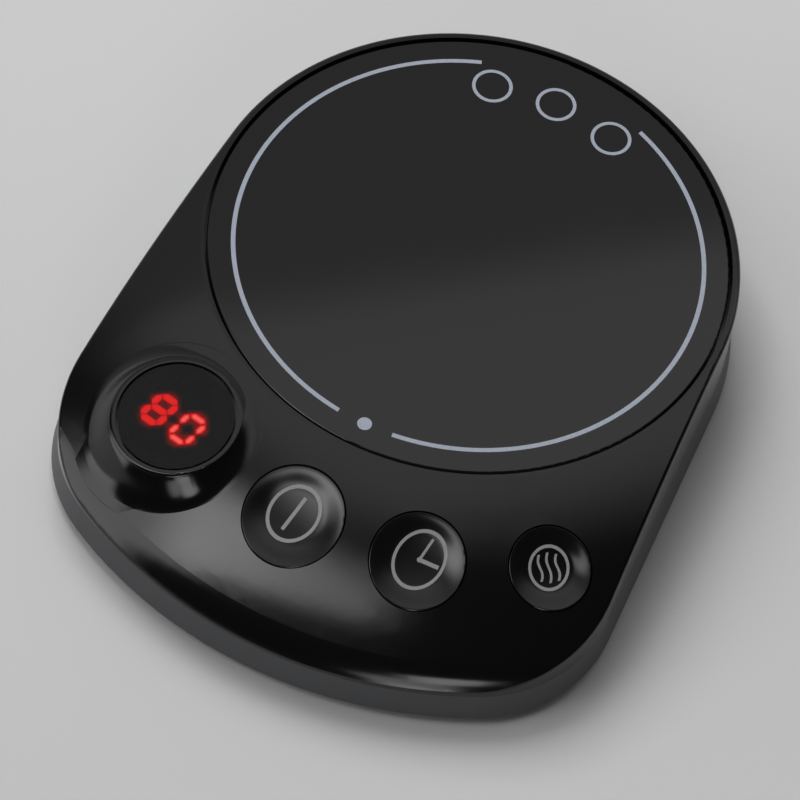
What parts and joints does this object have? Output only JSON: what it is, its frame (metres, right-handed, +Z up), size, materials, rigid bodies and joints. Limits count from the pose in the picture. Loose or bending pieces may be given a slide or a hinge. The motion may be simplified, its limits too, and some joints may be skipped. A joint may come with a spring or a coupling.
{
  "type": "electric mug warmer",
  "caption": "Low table-top mug warmer: round black glass hotplate in a glossy housing whose sloping front deck carries a raised display and a row of dished push buttons.",
  "frame": {"origin": "centre of the footprint, on the surface the feet stand on", "axes": "+Z up, +X to the right as seen from the controls, controls face -Y"},
  "size_m": [0.1224, 0.156, 0.0261],
  "materials": {
    "housing_gloss": "polished black moulded plastic",
    "case_satin": "satin black moulded plastic",
    "black_glass": "polished black toughened glass with a printed ring",
    "silicone": "moulded silicone",
    "cast_aluminium": "milled",
    "mica_sheet": "pressed mica sheet",
    "wool_board": "pressed ceramic fibre",
    "zinc_steel": "zinc-plated pressing",
    "screw_steel": "zinc-plated",
    "fuse_metal": "plated cap",
    "bead_epoxy": "epoxy bead",
    "smoked_lens": "polished smoked lens",
    "dark_plastic": "moulded",
    "digit_face": "black face with lit segments",
    "board_green": "solder-masked board",
    "terminal_plastic": "moulded",
    "film_plastic": "boxed film capacitor",
    "sleeve_plastic": "printed sleeve",
    "ferrite": "ferrite",
    "coil_tape": "wound and taped",
    "button_gloss": "polished black moulded plastic with a printed mark",
    "plunger_plastic": "moulded",
    "foot_rubber": "moulded",
    "lead_sleeve": "silicone-sleeved wire"
  },
  "bodies": {
    "housing": {"board_cable": "lead_sleeve", "bottom_case": "case_satin", "buzzer": "dark_plastic", "control_board": "board_green", "control_board_screws": "screw_steel", "control_chip": "dark_plastic", "cord_gland": "foot_rubber", "display_board": "board_green", "display_cable": "lead_sleeve", "display_lens": "smoked_lens", "display_shroud": "dark_plastic", "front_left_foot": "foot_rubber", "front_right_foot": "foot_rubber", "glass_plate": "black_glass", "heat_spreader": "cast_aluminium", "heat_switch": "dark_plastic", "heater_leads": "lead_sleeve", "heater_retainer": "zinc_steel", "heating_element": "mica_sheet", "housing_screws": "screw_steel", "insulation_pad": "wool_board", "mains_capacitor": "film_plastic", "mains_fuse": "fuse_metal", "plate_gasket": "silicone", "power_board": "board_green", "power_board_screws": "screw_steel", "power_switch": "dark_plastic", "rear_left_foot": "foot_rubber", "rear_right_foot": "foot_rubber", "reservoir_capacitor": "sleeve_plastic", "retainer_screws": "screw_steel", "segment_display": "digit_face", "sensor_leads": "lead_sleeve", "terminal_block": "terminal_plastic", "thermal_fuse": "fuse_metal", "thermistor": "bead_epoxy", "timer_switch": "dark_plastic", "top_cover": "housing_gloss", "transformer_coil": "coil_tape", "transformer_core": "ferrite", "triac": "dark_plastic"},
    "power_key": {"power_button": "button_gloss", "power_plunger": "plunger_plastic"},
    "timer_key": {"timer_button": "button_gloss", "timer_plunger": "plunger_plastic"},
    "heat_key": {"heat_button": "button_gloss", "heat_plunger": "plunger_plastic"}
  },
  "joints": [
    {"name": "power_press", "type": "slide", "parent": "housing", "child": "power_key", "axis": [0, 0, -1], "range_m": [0, 0.0006], "stiffness_N_per_m": 2500, "springref_m": -0.0002},
    {"name": "timer_press", "type": "slide", "parent": "housing", "child": "timer_key", "axis": [0, 0, -1], "range_m": [0, 0.0006], "stiffness_N_per_m": 2500, "springref_m": -0.0002},
    {"name": "heat_press", "type": "slide", "parent": "housing", "child": "heat_key", "axis": [0, 0, -1], "range_m": [0, 0.0006], "stiffness_N_per_m": 2500, "springref_m": -0.0002}
  ]
}
